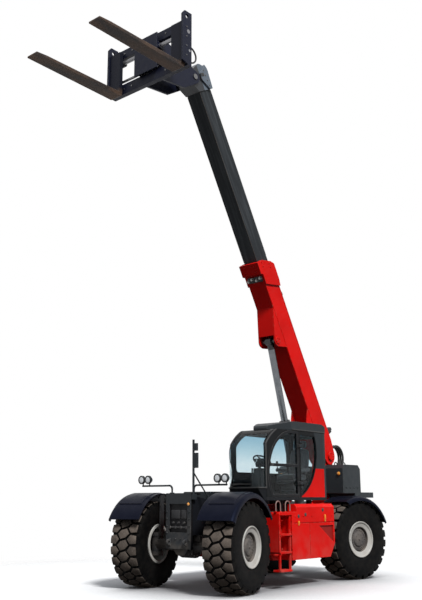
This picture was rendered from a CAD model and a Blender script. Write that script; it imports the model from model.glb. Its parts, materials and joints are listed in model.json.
import json
import math
import bmesh
import bpy
from mathutils import Matrix, Vector


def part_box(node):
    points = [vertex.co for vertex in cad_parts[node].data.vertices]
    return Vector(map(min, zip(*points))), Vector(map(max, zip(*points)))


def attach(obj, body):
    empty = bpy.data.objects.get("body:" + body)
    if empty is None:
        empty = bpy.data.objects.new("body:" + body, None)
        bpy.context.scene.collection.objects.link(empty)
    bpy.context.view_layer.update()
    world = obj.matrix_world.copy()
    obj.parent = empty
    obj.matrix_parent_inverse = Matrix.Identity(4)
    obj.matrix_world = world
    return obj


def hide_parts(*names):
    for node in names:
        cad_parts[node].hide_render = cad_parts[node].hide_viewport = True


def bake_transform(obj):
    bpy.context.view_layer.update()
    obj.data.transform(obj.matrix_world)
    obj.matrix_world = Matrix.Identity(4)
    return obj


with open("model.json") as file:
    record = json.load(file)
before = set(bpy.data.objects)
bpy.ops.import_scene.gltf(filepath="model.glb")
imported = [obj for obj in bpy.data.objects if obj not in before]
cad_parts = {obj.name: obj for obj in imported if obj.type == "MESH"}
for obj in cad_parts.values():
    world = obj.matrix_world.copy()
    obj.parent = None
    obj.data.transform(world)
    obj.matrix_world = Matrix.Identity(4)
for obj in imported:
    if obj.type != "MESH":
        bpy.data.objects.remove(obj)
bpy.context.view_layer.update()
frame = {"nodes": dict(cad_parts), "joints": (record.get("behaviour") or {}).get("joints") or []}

# Main frame, side boxes and boom tower, welded from thick plate and painted in red enamel.
# The paint is a little uneven, dull with dust near the ground and rubbed pale along the edges.
# The frame is nearly black from behind the front wheels to the nose.
AHEAD, LEFT, UP = (1, 0, 0), (0, 1, 0), (0, 0, 1)
CORNERS = ("fl", "fr", "rl", "rr")
joints = {joint["name"]: joint for joint in frame["joints"]}
axle_low, axle_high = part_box("front_axle")
front_x = (axle_low.x + axle_high.x) / 2
AXLE_Z = Vector(joints["spin_fl"]["pos_m"]).z


def new_material(name):
    """A new finish and its tree of nodes."""
    made = bpy.data.materials.new(name)
    made.use_nodes = True
    return made, made.node_tree


def feed(tree, value, socket="Base Color"):
    """Links a value to a socket of a finish's shader."""
    tree.links.new(value, tree.nodes["Principled BSDF"].inputs[socket])


def settings(tree, values):
    """Sets constants on a finish's shader by the names of its sockets."""
    for socket, value in values.items():
        tree.nodes["Principled BSDF"].inputs[socket].default_value = value


def spread(tree, value, low, high):
    """A value from low to high, stretched to run from 0 to 1."""
    stretch = tree.nodes.new("ShaderNodeMapRange")
    stretch.inputs["From Min"].default_value = low
    stretch.inputs["From Max"].default_value = high
    tree.links.new(value, stretch.inputs["Value"])
    return stretch.outputs["Result"]


def grain(tree, scale, low, high, detail=4.0, squeeze=(1, 1, 1)):
    """Noise on the piece's own coordinates, cut to run from 0 to 1."""
    place = tree.nodes.new("ShaderNodeTexCoord")
    turn = tree.nodes.new("ShaderNodeMapping")
    turn.inputs["Scale"].default_value = squeeze
    noise = tree.nodes.new("ShaderNodeTexNoise")
    noise.inputs["Scale"].default_value = scale
    noise.inputs["Detail"].default_value = detail
    tree.links.new(place.outputs["Object"], turn.inputs["Vector"])
    tree.links.new(turn.outputs["Vector"], noise.inputs["Vector"])
    return spread(tree, noise.outputs["Fac"], low, high)


def along(tree, direction, low, high):
    """How far a spot lies in a direction, from 0 at low to 1 at high."""
    place = tree.nodes.new("ShaderNodeTexCoord")
    reach = tree.nodes.new("ShaderNodeVectorMath")
    reach.operation = "DOT_PRODUCT"
    reach.inputs[1].default_value = direction
    tree.links.new(place.outputs["Object"], reach.inputs[0])
    return spread(tree, reach.outputs["Value"], low, high)


def times(tree, first, second, how="MULTIPLY"):
    """Two masks joined to one that runs from 0 to 1."""
    joined = tree.nodes.new("ShaderNodeMath")
    joined.operation = how
    joined.use_clamp = True
    for socket, value in zip(joined.inputs, (first, second)):
        if isinstance(value, (int, float)):
            socket.default_value = value
        else:
            tree.links.new(value, socket)
    return joined.outputs["Value"]


def over(tree, factor, under, top):
    """One colour over another, by a factor."""
    mix = tree.nodes.new("ShaderNodeMix")
    mix.data_type = "RGBA"
    tree.links.new(factor, mix.inputs[0])
    for socket, value in ((mix.inputs[6], under), (mix.inputs[7], top)):
        if isinstance(value, tuple):
            socket.default_value = (*value, 1.0)
        else:
            tree.links.new(value, socket)
    return mix.outputs[2]


def repaint(tree, where, colour):
    """Lays a second colour over a finish, where a mask says."""
    paint = tree.nodes["Principled BSDF"].inputs["Base Color"]
    tree.links.new(over(tree, where, paint.links[0].from_socket, colour), paint)


def emboss(tree, height, strength, depth, base=None):
    """Raises a finish by a height, in a relief that only light sees."""
    relief = tree.nodes.new("ShaderNodeBump")
    relief.inputs["Strength"].default_value = strength
    relief.inputs["Distance"].default_value = depth
    tree.links.new(height, relief.inputs["Height"])
    if base is not None:
        tree.links.new(base, relief.inputs["Normal"])
    feed(tree, relief.outputs["Normal"], "Normal")


def worn_edges(tree, radius, bump):
    """Rounds the edges that light sees, adds a fine bump and returns where the edges are."""
    round_edge = tree.nodes.new("ShaderNodeBevel")
    round_edge.samples = 4
    round_edge.inputs["Radius"].default_value = radius
    true_face = tree.nodes.new("ShaderNodeNewGeometry")
    agree = tree.nodes.new("ShaderNodeVectorMath")
    agree.operation = "DOT_PRODUCT"
    tree.links.new(round_edge.outputs["Normal"], agree.inputs[0])
    tree.links.new(true_face.outputs["Normal"], agree.inputs[1])
    pits = grain(tree, 90.0, 0.2, 0.8, 2.0)
    emboss(tree, pits, bump, 0.002, round_edge.outputs["Normal"])
    return spread(tree, agree.outputs["Value"], 0.995, 0.93)


DUST = (0.30, 0.25, 0.20)


def enamel(name, colour, worn, roughness, dust=0.5, dust_top=1.2, coat=0.0, gloss=0.25):
    """Sprayed paint: a little patchy, chipped along its edges and dusty towards the ground."""
    made, tree = new_material(name)
    edges = worn_edges(tree, 0.010, 0.12)
    patchy = grain(tree, 1.3, 0.35, 0.75)
    shade = over(tree, patchy, colour, tuple(0.80 * c for c in colour))
    chips = times(tree, edges, grain(tree, 14.0, 0.48, 0.62, 8.0))
    shade = over(tree, chips, shade, worn)
    low = along(tree, UP, dust_top, 0.2)
    film = times(tree, low, grain(tree, 5.0, 0.35, 0.75, 6.0))
    film = times(tree, film, dust)
    feed(tree, over(tree, film, shade, DUST))
    rough = tree.nodes.new("ShaderNodeMapRange")
    rough.inputs["To Min"].default_value = roughness
    rough.inputs["To Max"].default_value = roughness + 0.22
    tree.links.new(grain(tree, 7.0, 0.3, 0.8, 6.0), rough.inputs["Value"])
    feed(tree, rough.outputs["Result"], "Roughness")
    settings(tree, {"Specular IOR Level": gloss, "Coat Weight": coat, "Coat Roughness": 0.12})
    return made


def dress(material, *names):
    """Gives CAD nodes their finish."""
    for name in names:
        mesh = frame["nodes"][name].data
        mesh.materials.clear()
        mesh.materials.append(material)


def piece(name, bm, body, *materials, slot=None, smooth=0.6):
    """Makes a finished mesh into a piece that rides on a body."""
    bmesh.ops.recalc_face_normals(bm, faces=bm.faces[:])
    mesh = bpy.data.meshes.new(name)
    bm.to_mesh(mesh)
    bm.free()
    for material in materials:
        mesh.materials.append(material)
    mesh.shade_smooth()
    mesh.set_sharp_from_angle(angle=smooth)
    made = bpy.data.objects.new(name, mesh)
    bpy.context.scene.collection.objects.link(made)
    if body:
        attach(made, body)
    return made


def red_paint(name, dust=0.5):
    return enamel(name, (0.70, 0.006, 0.004), (0.46, 0.14, 0.10), 0.36, dust, gloss=0.07)


red_enamel = red_paint("red_enamel")
frame_enamel = red_paint("frame_enamel")
tree = frame_enamel.node_tree
BLACK_FROM = front_x - 1.305
nose_end = along(tree, AHEAD, BLACK_FROM, BLACK_FROM + 0.005)
repaint(tree, nose_end, (0.010, 0.011, 0.014))
dress(frame_enamel, "chassis_frame")

# Bolt heads that hold the pieces together: zinc-plated hexagons on washers.
# They are set in rows and rings where the real machine is bolted.
ZINC, TARNISHED = (0.26, 0.25, 0.24), (0.13, 0.125, 0.12)


def mottled(name, grain_values, first, second, values):
    """A finish in two colours that a grain mixes, with its shader's constants."""
    made, tree = new_material(name)
    feed(tree, over(tree, grain(tree, *grain_values), first, second))
    settings(tree, values)
    return made


bolt_steel = mottled(
    "bolt_steel", (60.0, 0.35, 0.7), ZINC, TARNISHED, {"Metallic": 0.85, "Roughness": 0.42})


def facing(direction):
    """Turns +Z to a direction."""
    return Vector(direction).to_track_quat("Z", "Y").to_matrix().to_4x4()


def add_disc(bm, spot, direction, radius, depth, sides=24, top=None, material=0):
    """A short cylinder or cone that stands on a spot."""
    place = Matrix.Translation(spot) @ facing(direction) @ Matrix.Translation((0, 0, depth / 2))
    made = bmesh.ops.create_cone(
        bm, cap_ends=True, segments=sides, radius1=radius,
        radius2=radius if top is None else top, depth=depth, matrix=place)
    for face in {face for vert in made["verts"] for face in vert.link_faces}:
        face.material_index = material


def add_box(bm, low, high, round_by=0.004, material=0, place=None):
    """A block between two corners with rounded edges."""
    low, high = Vector(low), Vector(high)
    stretch = Matrix.Diagonal((*(high - low), 1.0))
    made = bmesh.ops.create_cube(bm, size=1.0, matrix=Matrix.Translation((low + high) / 2) @ stretch)
    edges = list({edge for vert in made["verts"] for edge in vert.link_edges})
    made = bmesh.ops.bevel(
        bm, geom=edges, offset=round_by, offset_type="OFFSET", affect="EDGES", segments=2,
        profile=0.5, material=-1, clamp_overlap=True)
    verts = list({vert for face in made["faces"] for vert in face.verts})
    for face in {face for vert in verts for face in vert.link_faces}:
        face.material_index = material
    if place:
        bmesh.ops.transform(bm, matrix=place, verts=verts)


def add_bolts(bm, spots, direction, size, material=0):
    """Hexagon heads on washers, at spots on one face."""
    for spot in spots:
        spot = Vector(spot)
        lift = Vector(direction).normalized()
        add_disc(bm, spot, direction, size * 1.15, size * 0.25, 16, material=material)
        add_disc(bm, spot + lift * size * 0.25, direction, size, size * 0.7, 6, size * 0.9, material)


def row(first, last, count):
    """Spots at even steps from a first to a last one."""
    first, last = Vector(first), Vector(last)
    return [first.lerp(last, i / (count - 1)) for i in range(count)]


def ring(middle, radius, count, across=(0, 2)):
    """Spots round a circle that lies across two axes, here X and Z."""
    spots = []
    for i in range(count):
        turn = math.tau * i / count
        spot = Vector(middle)
        spot[across[0]] += radius * math.cos(turn)
        spot[across[1]] += radius * math.sin(turn)
        spots.append(spot)
    return spots


def add_tube(bm, points, radius, sides=12, material=0):
    """A round tube through a few points, with its ends closed."""
    points = [Vector(point) for point in points]
    rings = []
    side = None
    for i, point in enumerate(points):
        ahead = (points[min(i + 1, len(points) - 1)] - points[max(i - 1, 0)]).normalized()
        if side is None:
            side = ahead.orthogonal().normalized()
        side = (side - ahead * side.dot(ahead)).normalized()
        up = ahead.cross(side)
        turn = Matrix((side, up, ahead)).transposed().to_4x4()
        made = bmesh.ops.create_circle(
            bm, cap_ends=i in (0, len(points) - 1), segments=sides, radius=radius,
            matrix=Matrix.Translation(point) @ turn)
        rings.append(list({edge for vert in made["verts"] for edge in vert.link_edges}))
    for first, second in zip(rings, rings[1:]):
        made = bmesh.ops.bridge_loops(bm, edges=first + second)
        for face in made["faces"]:
            face.material_index = material
            face.smooth = True


FRAME_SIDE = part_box("chassis_frame")[1].y
SIDE_BOLT, SIDE_BOLT_LOW, SIDE_BOLT_HIGH = 0.022, 1.12, 1.42
bm = bmesh.new()
for side in (1, -1):
    y = side * FRAME_SIDE
    for x in (front_x - 0.62, front_x - 0.52):
        add_bolts(bm, row((x, y, SIDE_BOLT_LOW), (x, y, SIDE_BOLT_HIGH), 3), (0, side, 0), SIDE_BOLT)
piece("frame_bolts", bm, "chassis", bolt_steel, slot="steel")

# Axles and steering knuckles: black castings with bolted covers, oily and caked with dirt.
# The planet carrier's cover bolts stand in a ring round the housing.
black_casting = enamel("black_casting", (0.030, 0.030, 0.032), (0.12, 0.11, 0.10), 0.5, 0.7, 1.4)
dress(black_casting, "front_axle", "rear_axle", "engine_block", "tow_hitch")
dress(black_casting, *["knuckle_" + corner for corner in CORNERS])
COVER_R, COVER_Y, COVER_BOLTS, COVER_BOLT = 0.195, 0.150, 14, 0.016
bm = bmesh.new()
for node in ("front_axle", "rear_axle"):
    low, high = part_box(node)
    for side in (1, -1):
        middle = ((low.x + high.x) / 2, side * COVER_Y, AXLE_Z)
        add_bolts(bm, ring(middle, COVER_R, COVER_BOLTS), (0, side, 0), COVER_BOLT)
piece("axle_bolts", bm, "chassis", bolt_steel, slot="steel")

# Tyres: wide block-tread earthmover tyres, three staggered rows of 24 blocks round a smooth carcass.
# The blocks are dry and brown with dust, and the sidewalls are blacker rubber with moulded rings.
tread_rubber, tree = new_material("tread_rubber")
dusty = grain(tree, 6.0, 0.30, 0.70, 8.0)
shade = over(tree, dusty, (0.060, 0.050, 0.043), (0.140, 0.112, 0.092))
speckle = grain(tree, 70.0, 0.50, 0.80, 6.0)
feed(tree, over(tree, speckle, shade, (0.20, 0.17, 0.145)))
settings(tree, {"Roughness": 0.85, "Specular IOR Level": 0.1})
emboss(tree, grain(tree, 45.0, 0.2, 0.8, 8.0), 0.35, 0.004)

sidewall_rubber = mottled(
    "sidewall_rubber", (9.0, 0.40, 0.80, 8.0), (0.0026, 0.0026, 0.0028), (0.009, 0.008, 0.007),
    {"Roughness": 0.62, "Specular IOR Level": 0.06})
tree = sidewall_rubber.node_tree
emboss(tree, grain(tree, 30.0, 0.2, 0.8, 6.0), 0.2, 0.003)

TYRE_R, TYRE_HALF = AXLE_Z, 0.315
GROOVE, BLOCK_ROOT, BLOCK_FLARE, BLOCK_EDGE = 0.042, 0.012, 1.05, 0.008
SHOULDER_Y, SHOULDER_DEPTH = 0.26, 0.125
DUSTY_DEPTH = 0.016
BLOCKS = 24
PITCH = math.tau / BLOCKS


def spin_profile(bm, profile):
    """Revolves a profile of (y, radius) points round the wheel's axis."""
    verts = [bm.verts.new((radius, y, 0)) for y, radius in profile]
    edges = [bm.edges.new(pair) for pair in zip(verts, verts[1:])]
    bmesh.ops.spin(
        bm, geom=verts + edges, axis=LEFT, cent=(0, 0, 0), angle=math.tau, steps=96, use_merge=True)


def crown(y):
    """Height of the tread's top at a distance from the tyre's middle."""
    return TYRE_R - 0.22 * y * y


def add_block(bm, outline, turn):
    """A tread block: an outline of (share of a pitch, y), drawn flat, raised, bevelled and bent."""
    length = PITCH * TYRE_R
    verts = [bm.verts.new((share * length, y, 0)) for share, y in outline]
    top = bm.faces.new(verts)
    made = bmesh.ops.extrude_face_region(bm, geom=[top])
    low = [v for v in made["geom"] if isinstance(v, bmesh.types.BMVert)]
    middle = sum((v.co for v in low), Vector()) / len(low)
    for vert in low:
        outer = abs(vert.co.y) > SHOULDER_Y
        vert.co = middle + (vert.co - middle) * BLOCK_FLARE
        vert.co.z = -GROOVE - BLOCK_ROOT
        if outer:
            vert.co.y = math.copysign(TYRE_HALF - 0.003, vert.co.y)
            vert.co.z = -SHOULDER_DEPTH
    bevelled = bmesh.ops.bevel(
        bm, geom=top.edges[:], offset=BLOCK_EDGE, offset_type="OFFSET", affect="EDGES", segments=2,
        profile=0.5, material=-1)
    block = set(verts) | set(low) | {v for face in bevelled["faces"] for v in face.verts}
    for vert in [v for v in block if v.is_valid]:
        angle = turn + vert.co.x / TYRE_R
        radius = crown(vert.co.y) + vert.co.z
        vert.co = Vector((radius * math.cos(angle), vert.co.y, radius * math.sin(angle)))


ZIGZAG, GAP, HALF_BLOCK, SLANT = (0.075, 0.145), 0.019, 0.40, 0.07
middle_block = [
    (-HALF_BLOCK - SLANT, -ZIGZAG[0] + GAP), (0, -ZIGZAG[1] + GAP), (HALF_BLOCK - SLANT, -ZIGZAG[0] + GAP),
    (HALF_BLOCK + SLANT, ZIGZAG[0] - GAP), (0, ZIGZAG[1] - GAP), (-HALF_BLOCK + SLANT, ZIGZAG[0] - GAP)]
edge_block = [
    (-HALF_BLOCK, ZIGZAG[1] + GAP), (0, ZIGZAG[0] + GAP), (HALF_BLOCK, ZIGZAG[1] + GAP),
    (HALF_BLOCK - 0.06, 0.285), (0, 0.290), (-HALF_BLOCK + 0.06, 0.285)]
tyre_profile = [
    (-0.284, 0.381), (-0.300, 0.41), (-0.311, 0.47), (-0.315, 0.56), (-0.313, 0.66), (-0.306, 0.700),
    (-0.309, 0.706), (-0.303, 0.722), (-0.280, 0.752), (-0.16, 0.773), (0, 0.778), (0.16, 0.773),
    (0.280, 0.752), (0.303, 0.722), (0.309, 0.706), (0.306, 0.700), (0.313, 0.66), (0.315, 0.56),
    (0.311, 0.47), (0.300, 0.41), (0.284, 0.381), (0.284, 0.348), (-0.284, 0.348), (-0.284, 0.381)]


def wheel_place(corner):
    """The wheel's middle, with +Y outwards along its axis."""
    joint = joints["spin_" + corner]
    outwards = Vector(joint["axis"]) * (1 if corner[1] == "l" else -1)
    ahead = outwards.cross(Vector(UP))
    turn = Matrix((ahead, outwards, Vector(UP))).transposed().to_4x4()
    return Matrix.Translation(joint["pos_m"]) @ turn


for corner in CORNERS:
    bm = bmesh.new()
    spin_profile(bm, tyre_profile)
    bmesh.ops.remove_doubles(bm, verts=bm.verts[:], dist=1e-5)
    for face in bm.faces:
        face.material_index = 1
    carcass = set(bm.faces)
    for i in range(BLOCKS):
        turn = PITCH * i - math.pi / 2
        add_block(bm, middle_block, turn)
        add_block(bm, edge_block, turn + PITCH / 2)
        add_block(bm, [(share, -y) for share, y in edge_block], turn + PITCH / 2)
    for face in set(bm.faces) - carcass:
        middle = face.calc_center_median()
        deep = crown(middle.y) - math.hypot(middle.x, middle.z)
        face.material_index = 0 if deep < DUSTY_DEPTH else 1
    bmesh.ops.transform(bm, matrix=wheel_place(corner), verts=bm.verts[:])
    tyre = piece(
        "tyre_" + corner + "_tread", bm, "wheel_" + corner, tread_rubber, sidewall_rubber, slot="tyre")
    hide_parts("tyre_" + corner)

# Rims: a wide steel barrel with rolled flanges in light grey enamel, dished to a dark planetary hub.
# A ring of wheel bolts and a ring of cover bolts hold the hub, with a drain plug in its cap.
# One valve stem stands in the barrel.
rim_enamel = enamel("rim_enamel", (0.50, 0.49, 0.46), (0.20, 0.17, 0.14), 0.45, 0.55, 2.2, coat=0.05)
hub_paint = enamel("hub_paint", (0.075, 0.068, 0.066), (0.12, 0.11, 0.10), 0.5, 0.5, 2.2)
FLANGE_Y = 0.307
rim_profile = [
    (-FLANGE_Y, 0.318), (-FLANGE_Y, 0.366), (-0.302, 0.3725), (-0.284, 0.3725), (-0.280, 0.352),
    (-0.270, 0.3465), (0.270, 0.3465), (0.280, 0.352), (0.284, 0.3725), (0.302, 0.3725), (FLANGE_Y, 0.366),
    (0.305, 0.352), (0.296, 0.340), (0.286, 0.335), (0.262, 0.262), (0.254, 0.256), (0.175, 0.252),
    (0.130, 0.252)]
hub_profile = [
    (0.130, 0.252), (0.180, 0.246), (0.206, 0.240), (0.214, 0.230), (0.217, 0.216), (0.217, 0.160),
    (0.222, 0.152), (0.234, 0.147), (0.241, 0.140), (0.245, 0.128), (0.245, 0.0)]
HUB_FACE, CAP_FACE = 0.217, 0.245
HUB_R, HUB_BACK = 0.257, 0.12
back_profile = [(0.130, 0.252), (0.110, 0.326), (-0.290, 0.326), (-FLANGE_Y, 0.318)]
WHEEL_BOLTS, WHEEL_BOLT_R, WHEEL_BOLT = 24, 0.192, 0.013
CAP_BOLTS, CAP_BOLT_R, CAP_BOLT, DRAIN_PLUG = 9, 0.108, 0.010, 0.020
VALVE_R, valve_stem = 0.007, [(0.300, 0.262, 0), (0.312, 0.28, 0), (0.315, 0.296, 0)]
for corner in CORNERS:
    bm = bmesh.new()
    spin_profile(bm, rim_profile)
    spin_profile(bm, back_profile)
    spin_profile(bm, hub_profile)
    bmesh.ops.remove_doubles(bm, verts=bm.verts[:], dist=1e-5)
    for face in bm.faces:
        middle = face.calc_center_median()
        spoke = math.hypot(middle.x, middle.z)
        face.material_index = 1 if spoke < HUB_R and middle.y > HUB_BACK else 0
    add_bolts(bm, ring((0, HUB_FACE, 0), WHEEL_BOLT_R, WHEEL_BOLTS), LEFT, WHEEL_BOLT, 1)
    add_bolts(bm, ring((0, CAP_FACE, 0), CAP_BOLT_R, CAP_BOLTS), LEFT, CAP_BOLT, 1)
    add_bolts(bm, [(0, CAP_FACE, 0)], LEFT, DRAIN_PLUG, 1)
    add_tube(bm, valve_stem, VALVE_R, 10, 2)
    bmesh.ops.transform(bm, matrix=wheel_place(corner), verts=bm.verts[:])
    rim = piece(
        "rim_" + corner + "_wheel", bm, "wheel_" + corner, rim_enamel, hub_paint, bolt_steel, slot="rim_grey")
    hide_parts("rim_" + corner)

# Fenders: moulded sheets with a raised top panel, bolted to the knuckles so that they turn with the wheels.
# The plastic is dark blue-black, smooth where clean and a little duller under a film of dust.
fender_gloss, tree = new_material("fender_gloss")
edges = worn_edges(tree, 0.012, 0.05)
film = times(tree, grain(tree, 4.0, 0.40, 0.80, 8.0), 0.45)
shade = over(tree, film, (0.0022, 0.0028, 0.008), (0.008, 0.009, 0.018))
feed(tree, over(tree, times(tree, edges, 0.5), shade, (0.04, 0.04, 0.045)))
uneven = grain(tree, 5.0, 0.2, 0.9, 6.0)
feed(tree, spread(tree, uneven, -1.0, 2.6), "Roughness")
settings(tree, {
    "Specular IOR Level": 0.07, "Specular Tint": (0.40, 0.55, 1.0, 1.0),
    "Coat Weight": 0.03, "Coat Roughness": 0.10})
dress(fender_gloss, *["fender_" + corner for corner in CORNERS])

# Front frame: a dark welded box that closes the nose, with a sunk panel and two tow eyes.
# A cross tube with hose ends lies in the panel, and one amber marker sits at its left edge.
CHARCOAL = (0.024, 0.029, 0.033)
charcoal_enamel = enamel("charcoal_enamel", CHARCOAL, (0.12, 0.12, 0.12), 0.42, 0.6, 1.5, gloss=0.15)
NOSE_X, PANEL_DEPTH = front_x + 0.330, 0.035
nose_enamel = enamel("nose_enamel", (0.034, 0.037, 0.041), (0.10, 0.10, 0.10), 0.45, 0.6, 1.5, gloss=0.15)
tree = nose_enamel.node_tree
sunk = along(tree, AHEAD, NOSE_X - 0.006, NOSE_X - 0.014)
repaint(tree, sunk, (0.006, 0.006, 0.007))
dress(nose_enamel, "front_frame")
amber_lens = mottled(
    "amber_lens", (120.0, 0.3, 0.7, 0.0), (0.75, 0.25, 0.015), (0.95, 0.42, 0.05),
    {"Roughness": 0.18, "Coat Weight": 0.8})
black_rubber = mottled(
    "black_rubber", (40.0, 0.4, 0.8), (0.012, 0.012, 0.012), (0.035, 0.034, 0.033),
    {"Roughness": 0.6})
NOSE_BOLT, LOW_BOLT, NOSE_BOLT_Y = 0.014, 0.013, 0.285
bm = bmesh.new()
for y in (NOSE_BOLT_Y, -NOSE_BOLT_Y):
    add_bolts(bm, row((NOSE_X, y, AXLE_Z + 0.10), (NOSE_X, y, AXLE_Z + 0.62), 5), AHEAD, NOSE_BOLT)
add_bolts(bm, row((NOSE_X, -0.20, AXLE_Z + 0.12), (NOSE_X, 0.20, AXLE_Z + 0.12), 4), AHEAD, LOW_BOLT)
piece("nose_bolts", bm, "chassis", nose_enamel, slot="charcoal_paint")
PANEL_X = NOSE_X - PANEL_DEPTH
SEAT_IN = 0.002
CROSS_TUBE_Z, HOSE_END_Z, COVER_LOW, COVER_HIGH = 1.150, 1.235, 1.31, 1.47
bm = bmesh.new()
add_tube(bm, [(PANEL_X + 0.022, -0.215, CROSS_TUBE_Z), (PANEL_X + 0.022, 0.215, CROSS_TUBE_Z)], 0.020, 20)
for y in (-0.21, -0.07, 0.07, 0.21):
    clip = Vector((PANEL_X, y, CROSS_TUBE_Z))
    add_box(bm, clip - Vector((SEAT_IN, 0.018, 0.028)), clip + Vector((0.046, 0.018, 0.028)), 0.005)
for y in (-0.14, 0.0, 0.14):
    add_disc(bm, (PANEL_X - SEAT_IN, y, HOSE_END_Z), AHEAD, 0.024, 0.022, 6)
    add_disc(bm, (PANEL_X + 0.018, y, HOSE_END_Z), AHEAD, 0.017, 0.030, 20)
add_box(bm, (PANEL_X - SEAT_IN, -0.19, COVER_LOW), (PANEL_X + 0.024, 0.03, COVER_HIGH), 0.008)
add_box(bm, (PANEL_X - SEAT_IN, 0.06, COVER_LOW), (PANEL_X + 0.018, 0.20, COVER_HIGH), 0.008)
piece("nose_fittings", bm, "chassis", black_casting, slot="cast")


def add_marker(bm, spot, direction, size):
    """A round marker lamp: rubber base and a domed lens."""
    spot, lift = Vector(spot), Vector(direction).normalized()
    add_disc(bm, spot, direction, size * 1.2, size * 0.4, 24, size * 1.1, 1)
    add_disc(bm, spot + lift * size * 0.4, direction, size, size * 0.35, 24, size * 0.85)
    add_disc(bm, spot + lift * size * 0.75, direction, size * 0.85, size * 0.2, 24, size * 0.4)


bm = bmesh.new()
add_marker(bm, (NOSE_X, 0.268, AXLE_Z + 0.755), AHEAD, 0.030)
piece("nose_markers", bm, "chassis", amber_lens, black_rubber)

# Fuel tank box and ladder: folded sheet doors on hidden hinges with small orange latches.
# The steps have a punched grip surface, and the top step lies on the deck.
# The sunk door panels are a darker red, and the ladder's upper hoops are rubbed pale.
tank_low, tank_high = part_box("fuel_tank")
ladder_low, ladder_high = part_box("access_ladder")
tank_enamel = red_paint("tank_enamel", 0.25)
tree = tank_enamel.node_tree
PANEL_TOP = 1.160
sunk = times(tree, along(tree, LEFT, tank_high.y - 0.030, tank_high.y - 0.027),
             along(tree, LEFT, tank_high.y - 0.018, tank_high.y - 0.022))
sunk = times(tree, sunk, along(tree, UP, PANEL_TOP, PANEL_TOP - 0.01))
repaint(tree, sunk, (0.26, 0.012, 0.010))
dress(tank_enamel, "fuel_tank")
ladder_enamel = red_paint("ladder_enamel")
tree = ladder_enamel.node_tree
HOOP_FOOT = 1.436
hoop_wire = along(tree, UP, HOOP_FOOT, HOOP_FOOT + 0.004)
repaint(tree, hoop_wire, (0.30, 0.20, 0.18))
dress(ladder_enamel, "access_ladder")
orange_plastic = mottled(
    "orange_plastic", (50.0, 0.35, 0.7), (0.80, 0.28, 0.02), (0.62, 0.20, 0.02),
    {"Roughness": 0.4})
bm = bmesh.new()
for x, z, tall in ((front_x - 1.683, 1.204, 0.085), (front_x - 2.619, 1.288, 0.140)):
    spot = Vector((x, tank_high.y, z))
    add_box(bm, spot - Vector((0.019, SEAT_IN, tall / 2)), spot + Vector((0.019, 0.016, tall / 2)), 0.005)
    add_box(bm, spot - Vector((0.011, -0.012, tall * 0.2)), spot + Vector((0.011, 0.026, tall * 0.36)), 0.004)
piece("tank_latches", bm, "chassis", orange_plastic)
bm = bmesh.new()
for x, z in ((front_x - 1.928, 1.364), (front_x - 2.550, 1.449), (front_x - 1.690, 1.336)):
    spot = Vector((x, tank_high.y, z))
    add_disc(bm, spot - Vector((0, SEAT_IN, 0)), LEFT, 0.038, 0.008, 32, 0.034)
    add_disc(bm, spot + Vector((0, 0.006, 0)), LEFT, 0.024, 0.008, 32, 0.018)
piece("tank_plugs", bm, "chassis", black_rubber)
DECK_BOLT_Z, DOOR_BOLT_LOW, DOOR_BOLT_HIGH = 1.335, 0.74, 1.26
bm = bmesh.new()
for along_tank in (0.10, 0.40, 0.82, 1.12, 1.40):
    add_bolts(bm, [(tank_low.x + along_tank, tank_high.y, DECK_BOLT_Z)], LEFT, 0.013)
for x in (tank_low.x + 1.52, tank_high.x - 0.08):
    add_bolts(bm, row((x, tank_high.y, DOOR_BOLT_LOW), (x, tank_high.y, DOOR_BOLT_HIGH), 3), LEFT, 0.012)
piece("tank_bolts", bm, "chassis", red_enamel, slot="red_paint")
GRIPS, STEP_TOPS = 7, (0.356, 0.686, 1.016)
GRIP_FROM, GRIP_TO = ladder_low.x + 0.115, ladder_low.x + 0.395
bm = bmesh.new()
for top in STEP_TOPS:
    for inward in (0.15, 0.10, 0.05):
        y, z = ladder_high.y - inward, top - 0.001
        for spot in row((GRIP_FROM, y, z), (GRIP_TO, y, z), GRIPS):
            add_disc(bm, spot, UP, 0.012, 0.005, 12, 0.008)
piece("step_grips", bm, "chassis", red_enamel, slot="red_paint")

# Engine bay and hood: a red tray with slotted sides under a charcoal hood that hinges on the inner side.
# The hinge wall above the tray is charcoal too.
# Louvre blades close the slots, and two rubber latches hold the hood shut.
dress(charcoal_enamel, "engine_hood")
bay_enamel = red_paint("bay_enamel")
tree = bay_enamel.node_tree
HINGE_FOOT = AXLE_Z + 0.602
repaint(tree, along(tree, UP, HINGE_FOOT, HINGE_FOOT + 0.004), CHARCOAL)
dress(bay_enamel, "engine_bay")
bay_low, bay_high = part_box("engine_bay")
hood_low, hood_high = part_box("engine_hood")
BLADE_TILT = Matrix.Rotation(math.radians(-35), 4, "X")
BLADE_IN, BLADE_OVERLAP = 0.014, 0.004


def add_blade(bm, spot, slot_width, depth, thick, round_by):
    """A tilted louvre blade, a little longer than its slot is wide."""
    corner = Vector((slot_width / 2 + BLADE_OVERLAP, depth / 2, thick / 2))
    add_box(bm, -corner, corner, round_by, 0, Matrix.Translation(spot) @ BLADE_TILT)


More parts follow.
